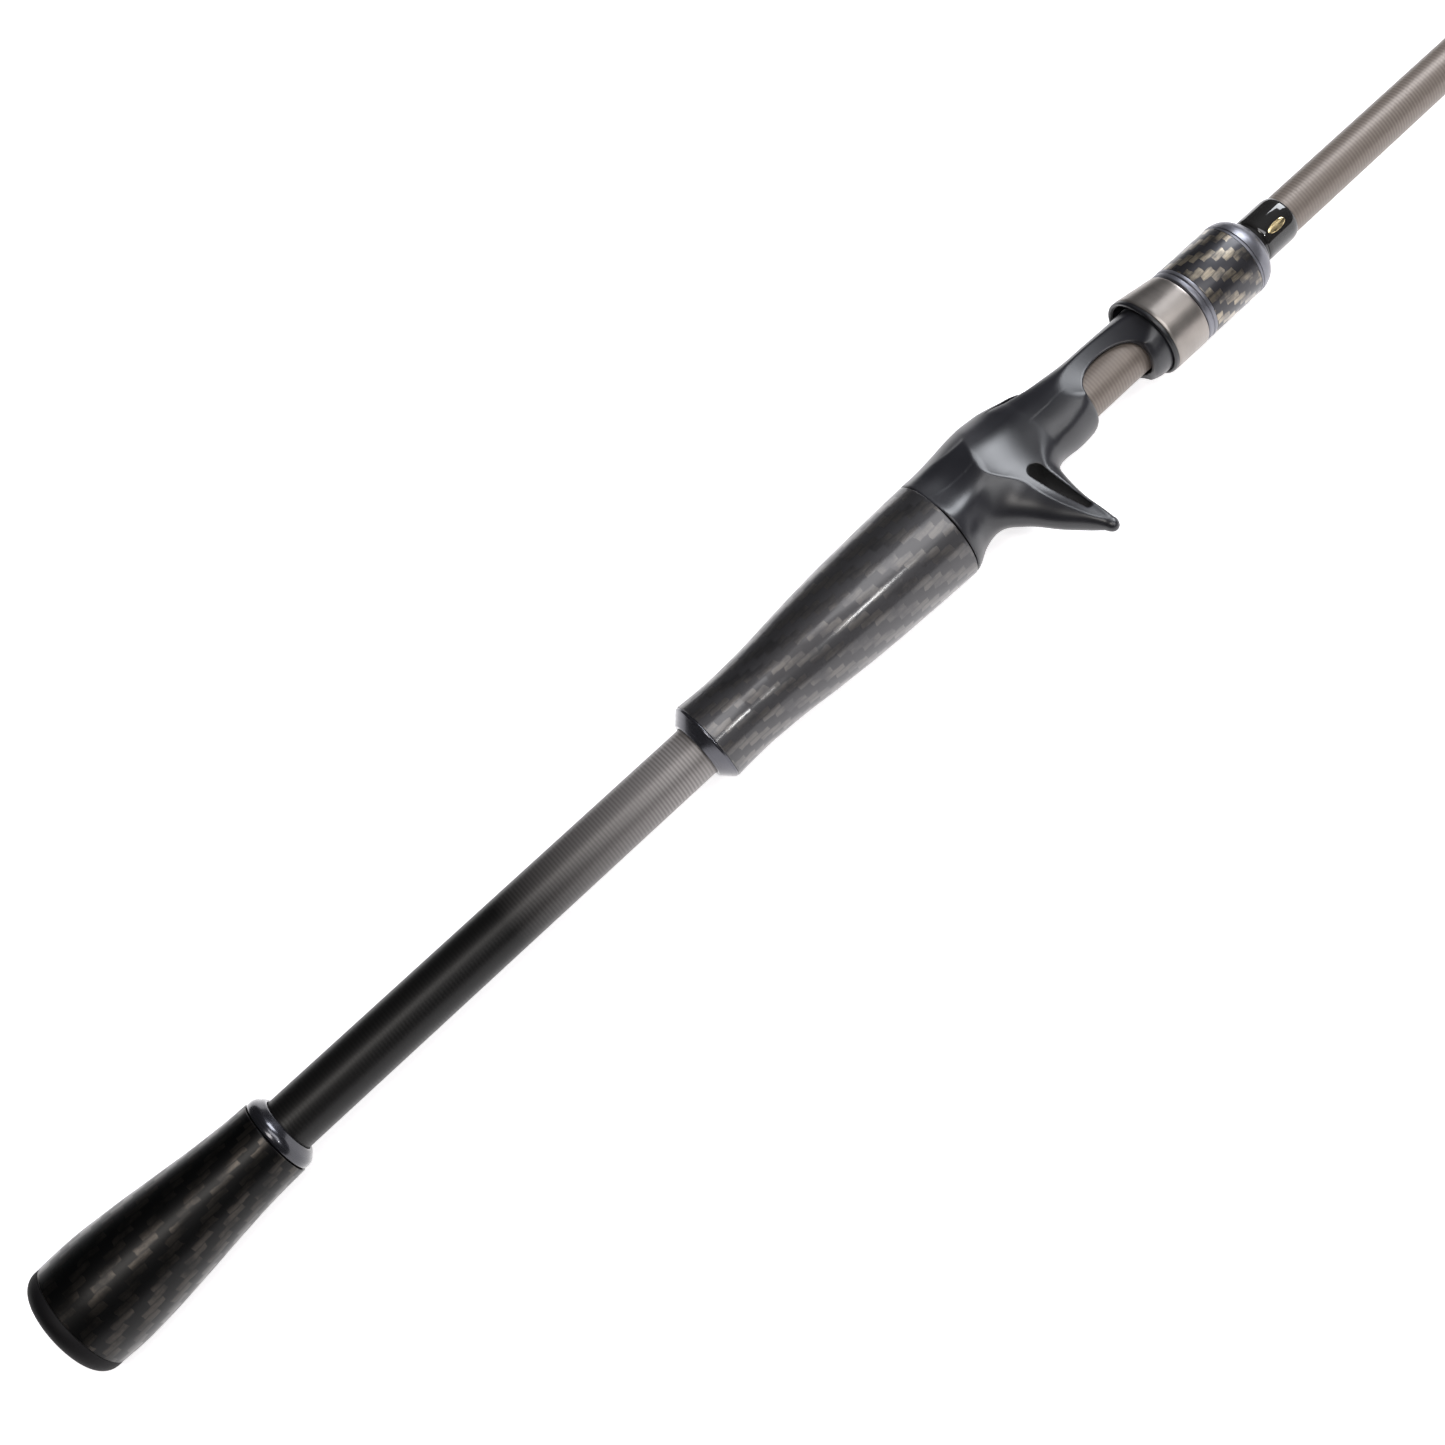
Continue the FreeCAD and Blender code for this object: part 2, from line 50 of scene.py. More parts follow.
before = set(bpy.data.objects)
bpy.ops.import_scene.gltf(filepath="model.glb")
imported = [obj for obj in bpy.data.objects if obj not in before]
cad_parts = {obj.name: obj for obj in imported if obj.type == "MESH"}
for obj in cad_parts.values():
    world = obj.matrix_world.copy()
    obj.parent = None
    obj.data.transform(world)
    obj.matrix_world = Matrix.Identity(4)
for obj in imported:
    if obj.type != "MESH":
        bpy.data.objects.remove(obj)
CAD_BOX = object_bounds()

MM = 0.001
SEGMENTS = 144
FLOOR_GAP = 0.0002      # metres under the part

# The teardrop slot through the trigger, in millimetres of the held rod
SLOT_X = 303.6          # middle of its upper end
SLOT_TOP = -10.3        # height of that end
SLOT_DROP = 15.4        # length downwards
SLOT_LEAN = 1.5         # how far its lower end is ahead
SLOT_RADIUS = 2.1
SLOT_TAPER = 1.3        # radius lost by the lower end


# ---------------------------------------------------------------- mesh helpers

def ends(node):
    """First and last x of a CAD node, in millimetres."""
    low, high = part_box(node)
    return low.x / MM, high.x / MM


def top_radius(node):
    """Largest distance of a CAD node from the rod's axis, across Z, in millimetres."""
    low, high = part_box(node)
    return max(-low.z, high.z) / MM


def laid(points):
    """Points of the held rod (x, left, up) in the row's frame, where the rod lies on its side."""
    points = np.asarray(points, float)
    return np.stack([points[..., 0], points[..., 2], -points[..., 1]], -1)


def add_mesh(name, vertices, faces, material, body, sharp=40.0):
    """Object from vertices in millimetres and faces, smooth except at sharp edges."""
    mesh = bpy.data.meshes.new(name)
    mesh.from_pydata([tuple(v) for v in np.asarray(vertices) * MM], [], faces)
    mesh.validate()
    outward = bmesh.new()
    outward.from_mesh(mesh)
    bmesh.ops.recalc_face_normals(outward, faces=outward.faces)
    outward.to_mesh(mesh)
    outward.free()
    mesh.polygons.foreach_set("use_smooth", [True] * len(mesh.polygons))
    mesh.set_sharp_from_angle(angle=math.radians(sharp))
    mesh.materials.append(material)
    obj = bpy.data.objects.new(name, mesh)
    bpy.context.scene.collection.objects.link(obj)
    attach(obj, body)
    return obj


def grid_faces(rows, columns):
    """Quads over a grid of points that closes round its rows and its columns."""
    faces = []
    for i in range(rows):
        for j in range(columns):
            a = i * columns + j
            b = i * columns + (j + 1) % columns
            c = ((i + 1) % rows) * columns + (j + 1) % columns
            d = ((i + 1) % rows) * columns + j
            faces.append((a, b, c, d))
    return faces


def soften(points, radius=0.3, steps=4):
    """Closed outline of (x, radius) points with each corner rounded."""
    points = [np.array(p, float) for p in points]
    rounded = []
    for k, corner in enumerate(points):
        before = points[k - 1] - corner
        after = points[(k + 1) % len(points)] - corner
        lengths = np.linalg.norm(before), np.linalg.norm(after)
        reach = min(radius, 0.45 * lengths[0], 0.45 * lengths[1])
        start = corner + before / lengths[0] * reach
        end = corner + after / lengths[1] * reach
        for step in range(steps + 1):
            t = step / steps
            rounded.append((1 - t) ** 2 * start + 2 * t * (1 - t) * corner + t * t * end)
    return rounded


def cubic(t, width, a, b, slope_a, slope_b):
    """Value at the share t of a stretch of this width, from a to b with the given slopes."""
    return ((2 * t ** 3 - 3 * t ** 2 + 1) * a + (t ** 3 - 2 * t ** 2 + t) * width * slope_a
            + (3 * t ** 2 - 2 * t ** 3) * b + (t ** 3 - t ** 2) * width * slope_b)


def smooth_line(points, count):
    """Smooth curve through (x, radius) points, evenly spaced in x."""
    xs = np.array([p[0] for p in points], float)
    ys = np.array([p[1] for p in points], float)
    slopes = np.gradient(ys, xs)
    out = []
    for x in np.linspace(xs[0], xs[-1], count):
        k = min(max(int(np.searchsorted(xs, x)) - 1, 0), len(xs) - 2)
        h = xs[k + 1] - xs[k]
        t = (x - xs[k]) / h
        out.append((x, cubic(t, h, ys[k], ys[k + 1], slopes[k], slopes[k + 1])))
    return out


def lathe(name, outline, material, body, segments=SEGMENTS, centre=(0.0, 0.0)):
    """Closed outline of (x, radius) points turned about a line along X, through (y, z) = centre."""
    outline = [(float(x), max(float(r), 0.02)) for x, r in outline]
    angles = np.arange(segments) * 2 * math.pi / segments
    vertices = []
    for x, r in outline:
        for angle in angles:
            vertices.append((x, centre[0] + r * math.cos(angle), centre[1] + r * math.sin(angle)))
    faces = grid_faces(len(outline), segments)
    return add_mesh(name, vertices, faces, material, body)


def skin(name, rings, material, body, sharp=40.0):
    """Closed skin over a loop of rings, each an array of points in millimetres."""
    rings = [np.asarray(ring) for ring in rings]
    faces = grid_faces(len(rings), len(rings[0]))
    return add_mesh(name, np.concatenate(rings), faces, material, body, sharp)


# ---------------------------------------------------------------- node helpers

class Shader:
    """Small builder for a Principled material's node tree."""

    def __init__(self, name):
        self.material = bpy.data.materials.new(name)
        self.material.use_nodes = True
        self.tree = self.material.node_tree
        self.surface = self.tree.nodes["Principled BSDF"]

    def node(self, kind, **inputs):
        node = self.tree.nodes.new(kind)
        for key, value in inputs.items():
            self.feed(node.inputs[key.replace("_", " ")], value)
        return node

    def feed(self, socket, value):
        if isinstance(value, bpy.types.NodeSocket):
            self.tree.links.new(value, socket)
        else:
            socket.default_value = value

    def math(self, operation, first, second=0.0):
        node = self.tree.nodes.new("ShaderNodeMath")
        node.operation = operation
        for socket, value in zip(node.inputs, (first, second)):
            self.feed(socket, value)
        return node.outputs[0]

    def position(self):
        """Position on the part, in metres."""
        return self.tree.nodes.new("ShaderNodeTexCoord").outputs["Object"]

    def place(self):
        """Position on the part, as separate x, y and z in metres."""
        split = self.tree.nodes.new("ShaderNodeSeparateXYZ")
        self.tree.links.new(self.position(), split.inputs[0])
        return split.outputs

    def noise(self, scale, detail=3.0, roughness=0.5, vector=None):
        node = self.tree.nodes.new("ShaderNodeTexNoise")
        node.inputs["Scale"].default_value = scale
        node.inputs["Detail"].default_value = detail
        node.inputs["Roughness"].default_value = roughness
        if vector is None:
            vector = self.position()
        self.tree.links.new(vector, node.inputs["Vector"])
        return node.outputs[0]

    def stretched(self, factors):
        """Position with each axis scaled, for grain that runs one way."""
        node = self.tree.nodes.new("ShaderNodeVectorMath")
        node.operation = "MULTIPLY"
        self.tree.links.new(self.position(), node.inputs[0])
        node.inputs[1].default_value = factors
        return node.outputs[0]

    def spread(self, value, low, high, start=0.0, end=1.0):
        """Maps value from start..end to low..high, held at both ends."""
        node = self.tree.nodes.new("ShaderNodeMapRange")
        names = ("Value", "From Min", "From Max", "To Min", "To Max")
        for key, number in zip(names, (value, start, end, low, high)):
            self.feed(node.inputs[key], number)
        return node.outputs[0]

    def mix(self, factor, first, second):
        node = self.tree.nodes.new("ShaderNodeMix")
        node.data_type = "RGBA"
        self.feed(node.inputs[0], factor)
        self.feed(node.inputs[6], first)
        self.feed(node.inputs[7], second)
        return node.outputs[2]

    def bump(self, height, strength, distance):
        node = self.node("ShaderNodeBump", Strength=strength, Distance=distance, Height=height)
        return node.outputs[0]

    def finish(self, **inputs):
        """Sets the Principled shader's own sockets, named with _ for a space."""
        for key, value in inputs.items():
            self.feed(self.surface.inputs[key.replace("_", " ")], value)
        return self.material


def rgb(r, g, b):
    return (r, g, b, 1.0)


def shade(color, factor):
    """The colour made darker or lighter by a factor."""
    return rgb(*[channel * factor for channel in color])


# ---------------------------------------------------------------- materials

def satin_plastic(name, color, roughness, shine=0.5):
    """Moulded plastic with a fine, even texture and faint handling marks."""
    s = Shader(name)
    cloud = s.noise(70.0, 4.0)
    fine = s.noise(2600.0, 2.0)
    tint = s.mix(s.spread(cloud, 0.0, 1.0, 0.3, 0.7), shade(color, 0.85), shade(color, 1.2))
    rough = s.spread(cloud, roughness - 0.05, roughness + 0.05, 0.3, 0.7)
    return s.finish(Base_Color=tint, Roughness=rough, Specular_IOR_Level=shine,
                    Normal=s.bump(fine, 0.12, 0.00003))


def seat_plastic(name):
    """The reel seat's satin plastic, with the inside of the trigger's slot painted near black as
    painted shade and made fully rough.
    """
    s = Shader(name)
    x, y = s.place()[:2]
    cloud = s.noise(70.0, 4.0)
    fine = s.noise(2600.0, 2.0)
    run = s.spread(y, 0.0, 1.0, SLOT_TOP * MM, (SLOT_TOP - SLOT_DROP) * MM)
    aside = s.math("SUBTRACT", s.math("SUBTRACT", x, SLOT_X * MM),
                   s.math("MULTIPLY", run, SLOT_LEAN * MM))
    beyond = s.math("ADD", s.math("SUBTRACT", y, SLOT_TOP * MM),
                    s.math("MULTIPLY", run, SLOT_DROP * MM))
    squares = s.math("ADD", s.math("MULTIPLY", aside, aside), s.math("MULTIPLY", beyond, beyond))
    radius = s.math("SUBTRACT", SLOT_RADIUS * MM, s.math("MULTIPLY", run, SLOT_TAPER * MM))
    wall = s.math("SUBTRACT", s.math("SQRT", squares), radius)
    # inside the slot the colour is painted near black as painted shade, and the roughness goes up to
    # full
    inside = s.spread(wall, 1.0, 0.0, 0.00008, 0.0002)
    polished = s.mix(s.spread(cloud, 0.0, 1.0, 0.3, 0.7),
                     rgb(0.012, 0.012, 0.015), rgb(0.017, 0.017, 0.021))
    tint = s.mix(inside, polished, rgb(0.001, 0.001, 0.001))
    rough = s.math("MAXIMUM", s.spread(cloud, 0.31, 0.39, 0.3, 0.7), inside)
    return s.finish(Base_Color=tint, Roughness=rough, Specular_IOR_Level=0.6,
                    Normal=s.bump(fine, 0.1, 0.00003))


def anodised(name, color, roughness, metallic=0.6, coat=0.0):
    """Turned metal with a hard coloured finish and faint rings from the lathe."""
    s = Shader(name)
    lines = s.noise(900.0, 2.0, vector=s.stretched((3.0, 0.05, 0.05)))
    cloud = s.noise(120.0, 3.0)
    tint = s.mix(s.spread(cloud, 0.0, 1.0, 0.35, 0.65), shade(color, 0.92), shade(color, 1.08))
    rough = s.spread(lines, roughness - 0.04, roughness + 0.05, 0.3, 0.7)
    return s.finish(Base_Color=tint, Roughness=rough, Metallic=metallic, Coat_Weight=coat,
                    Coat_Roughness=0.12, Normal=s.bump(lines, 0.08, 0.00002))


def carbon_twill(name, tows_round, tow, hand, light, dark, roughness, coat_roughness, coat):
    """Two-by-two carbon twill under clear coat: tows run along the rod and round it."""
    s = Shader(name)
    x, y, z = s.place()
    wobble = s.math("MULTIPLY", s.math("SUBTRACT", s.noise(330.0, 2.0), 0.5), 0.7)
    turn = s.math("DIVIDE", s.math("ARCTAN2", z, y), 2 * math.pi)
    tows_before = s.math("MULTIPLY", s.math("ADD", turn, 0.5), float(tows_round))
    round_place = s.math("ADD", tows_before, wobble)
    along_place = s.math("ADD", s.math("DIVIDE", x, tow * MM), wobble)
    column = s.math("FLOOR", along_place)
    row = s.math("FLOOR", round_place)
    step = s.math("ADD", column, s.math("MULTIPLY", row, float(hand)))
    phase = s.math("FLOORED_MODULO", step, 4.0)
    over = s.math("LESS_THAN", phase, 1.5)
    u = s.math("SUBTRACT", s.math("FRACT", along_place), 0.5)
    v = s.math("SUBTRACT", s.math("FRACT", round_place), 0.5)

    def crown_of(across):
        """0 at a tow's edges, 1 on its crown."""
        edge = s.math("MULTIPLY", s.math("ABSOLUTE", across), 2.0)
        return s.math("SUBTRACT", 1.0, s.math("POWER", edge, 3.0))

    # the tow on top is the one that shows
    crown_along = crown_of(v)
    crown_round = crown_of(u)
    crown = s.math("ADD", s.math("MULTIPLY", over, crown_along),
                   s.math("MULTIPLY", s.math("SUBTRACT", 1.0, over), crown_round))
    strands_along = s.noise(1.0, 2.0, vector=s.stretched((150.0, 5200.0, 5200.0)))
    strands_round = s.noise(1.0, 2.0, vector=s.stretched((5200.0, 150.0, 150.0)))
    strands = s.math("ADD", s.math("MULTIPLY", over, strands_along),
                     s.math("MULTIPLY", s.math("SUBTRACT", 1.0, over), strands_round))
    patch = s.noise(140.0, 4.0, 0.6)
    shine = s.math("MULTIPLY", over, s.spread(patch, 0.10, 1.20, 0.38, 0.62))
    shine = s.math("MULTIPLY", shine, s.spread(strands, 0.65, 1.2, 0.3, 0.7))
    shine = s.math("MULTIPLY", shine, s.spread(crown, 0.2, 1.0, 0.0, 0.9))
    tint = s.mix(shine, rgb(*dark), rgb(*light))
    rough = s.spread(over, roughness + 0.08, roughness - 0.04)
    height = s.math("ADD", s.math("MULTIPLY", crown, 0.7), s.math("MULTIPLY", strands, 0.3))
    ripple = s.noise(240.0, 2.0)
    return s.finish(Base_Color=tint, Roughness=rough, Metallic=0.9,
                    Normal=s.bump(height, 0.18, 0.00006),
                    Coat_Weight=coat, Coat_Roughness=coat_roughness, Coat_IOR=1.5,
                    Coat_Normal=s.bump(ripple, 0.12, 0.0001))


def ribbed_blank(name):
    """Satin graphite tube with the fine spiral ridge that its wrapping tape leaves, its tone painted
    with shade and light along the rod.
    """
    s = Shader(name)
    x, y, z = s.place()
    turn = s.math("DIVIDE", s.math("ARCTAN2", z, y), 2 * math.pi)
    drift = s.math("MULTIPLY", s.noise(45.0, 2.0), 0.5)
    pitch = s.math("ADD", s.math("ADD", s.math("DIVIDE", x, 0.95 * MM), turn), drift)
    ridge = s.math("SINE", s.math("MULTIPLY", pitch, 2 * math.pi))
    fine = s.math("SINE", s.math("MULTIPLY", pitch, 6 * math.pi))
    weight = s.spread(s.noise(30.0, 3.0), 0.2, 1.0, 0.3, 0.7)
    ridge = s.math("MULTIPLY", s.math("ADD", ridge, s.math("MULTIPLY", fine, 0.35)), weight)
    tone = s.spread(ridge, 0.0, 1.0, -1.2, 1.2)
    # painted shade and painted light along the rod: near black towards the butt, fading to a lighter
    # grey just behind the rear grip, then the blank's own taupe under the reel seat
    taupe = s.mix(tone, rgb(0.135, 0.112, 0.095), rgb(0.225, 0.190, 0.165))
    black = s.mix(tone, rgb(0.003, 0.0027, 0.0027), rgb(0.006, 0.0055, 0.005))
    painted_light_grey = s.mix(tone, rgb(0.130, 0.120, 0.116), rgb(0.340, 0.318, 0.308))
    shade_to_light = s.spread(x, 0.0, 1.0, 0.135, 0.195)
    light_to_taupe = s.spread(x, 0.0, 1.0, 0.30, 0.33)
    tint = s.mix(light_to_taupe, s.mix(shade_to_light, black, painted_light_grey), taupe)
    rough = s.spread(tone, 0.36, 0.46)
    return s.finish(Base_Color=tint, Roughness=rough, Metallic=0.25, Specular_IOR_Level=0.3,
                    Normal=s.bump(ridge, 0.22, 0.00005), Coat_Weight=0.1, Coat_Roughness=0.35)


def thread_wrap(name):
    """Black thread laid turn by turn under clear epoxy."""
    s = Shader(name)
    x = s.place()[0]
    thread = s.math("ABSOLUTE", s.math("SINE", s.math("MULTIPLY", x, math.pi / (0.22 * MM))))
    tint = s.mix(thread, rgb(0.003, 0.003, 0.003), rgb(0.012, 0.011, 0.010))
    wave = s.noise(220.0, 2.0)
    return s.finish(Base_Color=tint, Roughness=0.6, Specular_IOR_Level=0.1,
                    Normal=s.bump(thread, 0.15, 0.00002),
                    Coat_Weight=1.0, Coat_Roughness=0.03, Coat_IOR=1.55,
                    Coat_Normal=s.bump(wave, 0.05, 0.0002))


def plain_metal(name, color, roughness):
    """Polished or plated metal with fine scratches."""
    s = Shader(name)
    scratches = s.noise(700.0, 3.0, vector=s.stretched((0.4, 2.5, 2.5)))
    tint = s.mix(s.noise(300.0), shade(color, 0.9), rgb(*color))
    rough = s.spread(scratches, roughness - 0.05, roughness + 0.07, 0.3, 0.7)
    return s.finish(Base_Color=tint, Metallic=1.0, Roughness=rough,
                    Normal=s.bump(scratches, 0.05, 0.00002))


def ceramic(name):
    """Dark polished ring ceramic."""
    s = Shader(name)
    cloud = s.noise(400.0, 3.0)
    tint = s.mix(cloud, rgb(0.022, 0.023, 0.027), rgb(0.040, 0.041, 0.046))
    return s.finish(Base_Color=tint, Roughness=s.spread(cloud, 0.08, 0.16),
                    Coat_Weight=0.6, Coat_Roughness=0.05)


def foam(name):
    """Dense black foam, seen only where a grip's end is open."""
    s = Shader(name)
    cells = s.noise(1800.0, 4.0)
    tint = s.mix(cells, rgb(0.02, 0.02, 0.02), rgb(0.05, 0.05, 0.05))
    return s.finish(Base_Color=tint, Roughness=0.9, Normal=s.bump(cells, 0.4, 0.0001))


BLACK_PLASTIC = seat_plastic("seat_black")
CAP_PLASTIC = satin_plastic("cap_black", (0.005, 0.0045, 0.005), 0.6, shine=0.15)
RIM_PLASTIC = satin_plastic("rim_black", (0.008, 0.008, 0.010), 0.35)
BLACK_RING = anodised("black_ring", (0.17, 0.17, 0.19), 0.36, metallic=0.8)
CHECK_RING = anodised("check_ring", (0.045, 0.045, 0.053), 0.26, metallic=0.85, coat=0.7)
GLOSS_RING = anodised("gloss_ring", (0.085, 0.085, 0.098), 0.24, metallic=0.85, coat=0.4)
GUNMETAL = anodised("gunmetal", (0.27, 0.245, 0.225), 0.34, metallic=0.85)
REAR_TWILL = carbon_twill("rear_twill", tows_round=48, tow=2.95, hand=-1, light=(0.118, 0.110, 0.104),
                          dark=(0.066, 0.064, 0.067), roughness=0.46, coat_roughness=0.15, coat=0.7)
# the butt grip's twill has its tows darkened nearly to black, painted shade
SHADED_BUTT_TWILL = carbon_twill("butt_twill_painted_shade", tows_round=48, tow=2.9, hand=1, light=(0.031, 0.026, 0.0215),
                          dark=(0.002, 0.0018, 0.0018), roughness=0.33, coat_roughness=0.32, coat=0.3)
NUT_TWILL = carbon_twill("nut_twill", tows_round=36, tow=1.95, hand=-1, light=(0.30, 0.255, 0.19),
                         dark=(0.030, 0.029, 0.033), roughness=0.40, coat_roughness=0.25, coat=0.6)
BLANK = ribbed_blank("ribbed_blank")
WRAP = thread_wrap("thread_wrap")
GOLD = plain_metal("gold", (0.83, 0.66, 0.36), 0.25)
FRAME_METAL = plain_metal("guide_metal", (0.09, 0.09, 0.10), 0.28)
CERAMIC = ceramic("guide_ceramic")
FOAM = foam("grip_foam")


# ---------------------------------------------------------------- turned pieces

def replace(piece, node):
    """The piece stands for the CAD node, which is hidden."""
    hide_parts(node)
    return piece


# (x, radius) along the blank, which tapers in four straight stretches
BLANK_TAPER = [(5.0, 7.25), (197.0, 6.95), (400.0, 5.75), (900.0, 3.9), (2129.0, 1.05)]


def blank_radius(x):
    """Outer radius of the blank."""
    return float(np.interp(x, [p[0] for p in BLANK_TAPER], [p[1] for p in BLANK_TAPER]))


def make_blank():
    start, end = ends("blank")
    places = np.concatenate([np.linspace(start, 420, 180), np.linspace(430, end - 0.3, 160)])
    outline = [(x, blank_radius(x)) for x in places]
    outline += [(end, blank_radius(end) - 0.3), (end, 0.4), (start, 3.0),
                (start, blank_radius(start) - 0.2)]
    replace(lathe("blank_tube", outline, BLANK, "rod", segments=96), "blank")


def make_butt_cap():
    radius = top_radius("butt_cap")
    start, end = ends("butt_cap")
    face_end = 5.0
    round_length, round_height = 3.6, 3.9
    dome = []
    for step in range(15):
        angle = math.radians(90 * step / 14)
        dome.append((round_length - round_length * math.cos(angle),
                     radius - round_height + round_height * math.sin(angle)))
    outline = [(start, 0.0), (start, 9.0)] + dome
    outline += [(face_end - 0.25, radius), (face_end, radius - 0.2), (face_end, 5.0), (end, 5.0),
                (end, 0.0)]
    replace(lathe("butt_cap_shell", outline, CAP_PLASTIC, "rod"), "butt_cap")


# (x, radius) along the outside of each grip
BUTT_GRIP = [(5.0, 14.35), (12.0, 14.5), (23.0, 13.8), (34.0, 12.65), (45.0, 11.4), (56.0, 10.5),
             (62.8, 10.25)]
REAR_GRIP = [(200.3, 11.15), (206.0, 10.85), (213.0, 10.75), (222.0, 11.2), (234.0, 12.25),
             (246.0, 13.1), (259.0, 13.65), (271.0, 14.0), (278.0, 14.15)]


def make_grips():
    lip = 0.12
    skin_thickness = 0.85
    for name, points, material in (("butt_grip_skin", BUTT_GRIP, SHADED_BUTT_TWILL),
                                   ("rear_grip_skin", REAR_GRIP, REAR_TWILL)):
        outer = smooth_line(points, 90)
        (first_x, first_r), (last_x, last_r) = outer[0], outer[-1]
        outline = [(first_x, first_r - lip), (first_x + lip, first_r)] + outer[1:-1]
        outline += [(last_x - lip, last_r), (last_x, last_r - lip), (last_x, last_r - skin_thickness),
                    (first_x, first_r - skin_thickness)]
        replace(lathe(name + "_weave", outline, material, "rod"), name)


def make_trim_rings():
    check = [(62.8, 7.4), (62.8, 10.15), (65.1, 10.05), (67.0, 8.1), (67.0, 7.3)]
    piece = lathe("butt_check", soften(check, 1.1, 8), CHECK_RING, "rod")
    replace(piece, "butt_check_ring")
    ring = [(196.8, 7.1), (196.8, 8.1), (199.7, 11.08), (200.3, 11.08), (200.3, 7.1)]
    piece = lathe("rear_ring", soften(ring, 0.25), GLOSS_RING, "rod")
    replace(piece, "rear_grip_ring")


def make_nut():
    start, end = ends("nut_rear_ring")
    radius = top_radius("nut_sleeve")
    inner = radius - 0.5
    rear = [(start, inner), (start, radius - 0.35), (start + 0.35, radius), (start + 1.35, radius),
            (start + 1.5, radius - 0.3), (start + 1.75, radius - 0.3), (start + 1.9, radius),
            (end, radius), (end, inner)]
    piece = lathe("nut_rear_band", soften(rear, 0.12), BLACK_RING, "nut")
    replace(piece, "nut_rear_ring")

    first, last = ends("nut_sleeve")
    sleeve = [(first + 0.05, inner), (first + 0.05, radius - 0.03), (last - 0.05, radius - 0.03),
              (last - 0.05, inner)]
    replace(lathe("nut_weave", soften(sleeve, 0.1), NUT_TWILL, "nut"), "nut_sleeve")

    first, last = ends("nut_front_ring")
    nose = smooth_line([(first + 1.3, radius - 0.02), (first + 2.6, radius - 0.28),
                        (first + 4.2, radius - 1.05), (last - 0.5, 8.2)], 16)
    outline = [(first, inner), (first, radius), (first + 0.5, radius), (first + 0.62, radius - 0.22),
               (first + 0.8, radius - 0.22), (first + 0.95, radius)] + nose
    outline += [(last - 0.42, 7.85), (last, 7.6), (last, 7.0), (last - 0.9, 7.0), (last - 0.9, 8.5),
                (last - 4.0, inner)]
    replace(lathe("nut_nose", outline, BLACK_RING, "nut"), "nut_front_ring")


def wrap_outline(start, end, radius, shoulder, low0, low1):
    """Outline of an epoxied wrap: straight with rounded ends."""
    outline = []
    for step in range(9):
        angle = math.radians(90 * step / 8)
        outline.append((start + shoulder * (1 - math.cos(angle)),
                        low0 + (radius - low0) * math.sin(angle)))
    for step in range(9):
        angle = math.radians(90 * (1 - step / 8))
        outline.append((end - shoulder * (1 - math.cos(angle)),
                        low1 + (radius - low1) * math.sin(angle)))
    outline += [(end, low1 - 0.4), (start, low0 - 0.4)]
    return outline


def make_fore_wrap():
    """The wrap runs under the nut's nose; a thicker coat of epoxy starts just ahead of it."""
    start, end = ends("fore_wrap")
    radius = top_radius("fore_wrap") - 0.02
    under = radius - 0.42
    collar = 390.3
    outline = [(start, under - 0.2), (start + 0.3, under), (collar, under)]
    for step in range(1, 9):
        angle = math.radians(90 * step / 8)
        outline.append((collar + 1.3 * (1 - math.cos(angle)),
                        under + (radius - under) * math.sin(angle)))
    outline += wrap_outline(start, end, radius, 2.4, blank_radius(start), blank_radius(end))[9:]
    replace(lathe("fore_wrap_epoxy", outline, WRAP, "rod"), "fore_wrap")


def make_inlay():
    """Plain oval of gold leaf, curved over the wrap on the side that faces up and forwards."""
    low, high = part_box("fore_inlay")
    middle = (low + high) / 2 / MM
    angle0 = math.atan2(middle.z, middle.y)
    radius = top_radius("fore_wrap")
    length = (high.x - low.x) / MM / 2
    half_width = 1.15
    # (share of the oval's size, height over the wrap) from its middle outwards and back underneath
    profile = ((0.0, 0.10), (0.35, 0.10), (0.7, 0.10), (0.93, 0.09), (1.0, 0.03), (1.0, -0.05),
               (0.5, -0.05))
    rings = []
    for share, lift in profile:
        ring = []
        for step in range(48):
            turn = 2 * math.pi * step / 48
            x = middle.x + max(share, 0.01) * length * math.cos(turn)
            angle = angle0 + max(share, 0.01) * half_width / radius * math.sin(turn)
            ring.append((x, (radius + lift) * math.cos(angle), (radius + lift) * math.sin(angle)))
        rings.append(ring)
    replace(skin("gold_oval", rings, GOLD, "rod", sharp=30.0), "fore_inlay")


# ---------------------------------------------------------------- moving hood

def hood_ring(x, radius, rise, count=120):
    """Closed ring of the hood at x: a circle stretched towards the reel side by rise."""
    ring = []
    for step in range(count):
        angle = 2 * math.pi * step / count
        lift = rise * min(max(math.cos(angle) * 6 + 0.5, 0.0), 1.0)
        ring.append((x, radius * math.sin(angle), radius * math.cos(angle) + lift))
    return laid(ring)


